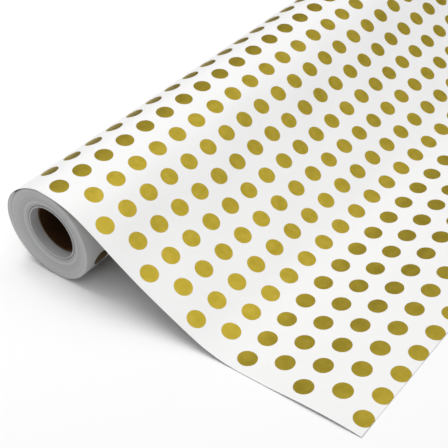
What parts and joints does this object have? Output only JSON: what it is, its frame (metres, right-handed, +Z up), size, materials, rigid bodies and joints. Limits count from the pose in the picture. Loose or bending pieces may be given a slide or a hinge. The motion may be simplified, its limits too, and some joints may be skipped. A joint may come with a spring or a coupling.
{
  "type": "wrapping paper roll",
  "caption": "Wide gift wrap roll, white with round metallic gold dots, on a recessed paperboard core, its loose end draped down and lying flat.",
  "frame": {"origin": "on the table, under the centre of the whole object's box", "axes": "+Y along the roll's axis, away from the end whose inner turns sink in; +X the way the loose sheet runs off; +Z up"},
  "size_m": [0.3416, 0.6134, 0.0869],
  "materials": {
    "printed_paper": "smooth satin white paper with round gold metallic dots",
    "wound_paper": "cut paper edges in fine rings, printed white outside with gold metallic dots",
    "kraft_inner": "matt brown kraft board with a spiral butt seam",
    "kraft_middle": "matt grey-brown board",
    "kraft_outer": "matt brown kraft board"
  },
  "bodies": {
    "web": {"loose_web": "printed_paper"},
    "sheet_end": {"free_sheet": "printed_paper"},
    "roll": {"wound_web": "wound_paper"},
    "core": {"core_inner_ply": "kraft_inner", "core_middle_ply": "kraft_middle", "core_outer_ply": "kraft_outer"}
  },
  "joints": [
    {"name": "roll_turn", "type": "hinge", "parent": "web", "child": "roll", "pos_m": [-0.12376, -0.00165, 0.0432], "axis": [0, 1, 0], "continuous": true},
    {"name": "core_slide", "type": "slide", "parent": "roll", "child": "core", "axis": [0, 1, 0], "range_m": [-0.0075, 0.0075]},
    {"name": "sheet_lift", "type": "hinge", "parent": "web", "child": "sheet_end", "pos_m": [0.07387, -0.00165, 0.0004], "axis": [0, -1, 0], "range_deg": [0, 45]}
  ]
}
